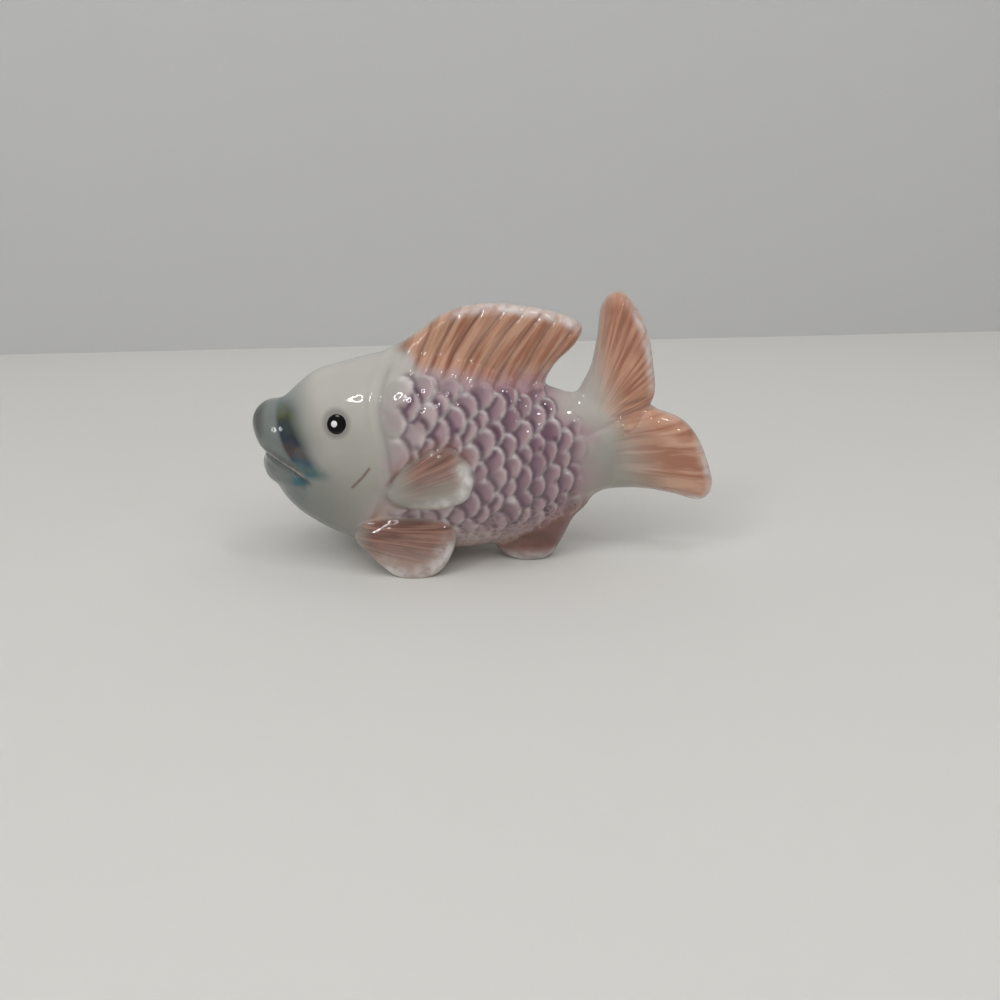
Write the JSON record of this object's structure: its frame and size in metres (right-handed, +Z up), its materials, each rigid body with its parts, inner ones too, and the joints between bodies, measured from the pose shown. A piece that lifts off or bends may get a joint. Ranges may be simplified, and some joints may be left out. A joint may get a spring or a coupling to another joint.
{
  "type": "fish figurine",
  "caption": "Glazed ceramic fish figurine, a hollow scaled body with thick pouting lips, ribbed fins and a forked tail, that stands on its lower fins as a table or aquarium ornament.",
  "frame": {"origin": "centre of the footprint of the whole figurine, on the table that it stands on", "axes": "+X from the mouth to the tail, +Y to the fish's right-hand side, +Z up"},
  "size_m": [0.101, 0.035, 0.0594],
  "materials": {
    "body_glaze": "glossy pearl lustre glaze, ivory head and mauve flanks, on fired ceramic",
    "fin_glaze": "glossy salmon and rose glaze on fired ceramic",
    "eye_enamel": "glossy black enamel",
    "glint_enamel": "glossy white enamel"
  },
  "bodies": {
    "root": {"body_shell": "body_glaze", "dorsal_fin": "fin_glaze", "tail_fin": "fin_glaze", "anal_fin": "fin_glaze", "left_pectoral_fin": "fin_glaze", "right_pectoral_fin": "fin_glaze", "left_pelvic_fin": "fin_glaze", "right_pelvic_fin": "fin_glaze", "left_eye": "eye_enamel", "right_eye": "eye_enamel", "left_eye_glint": "glint_enamel", "right_eye_glint": "glint_enamel"}
  },
  "joints": []
}
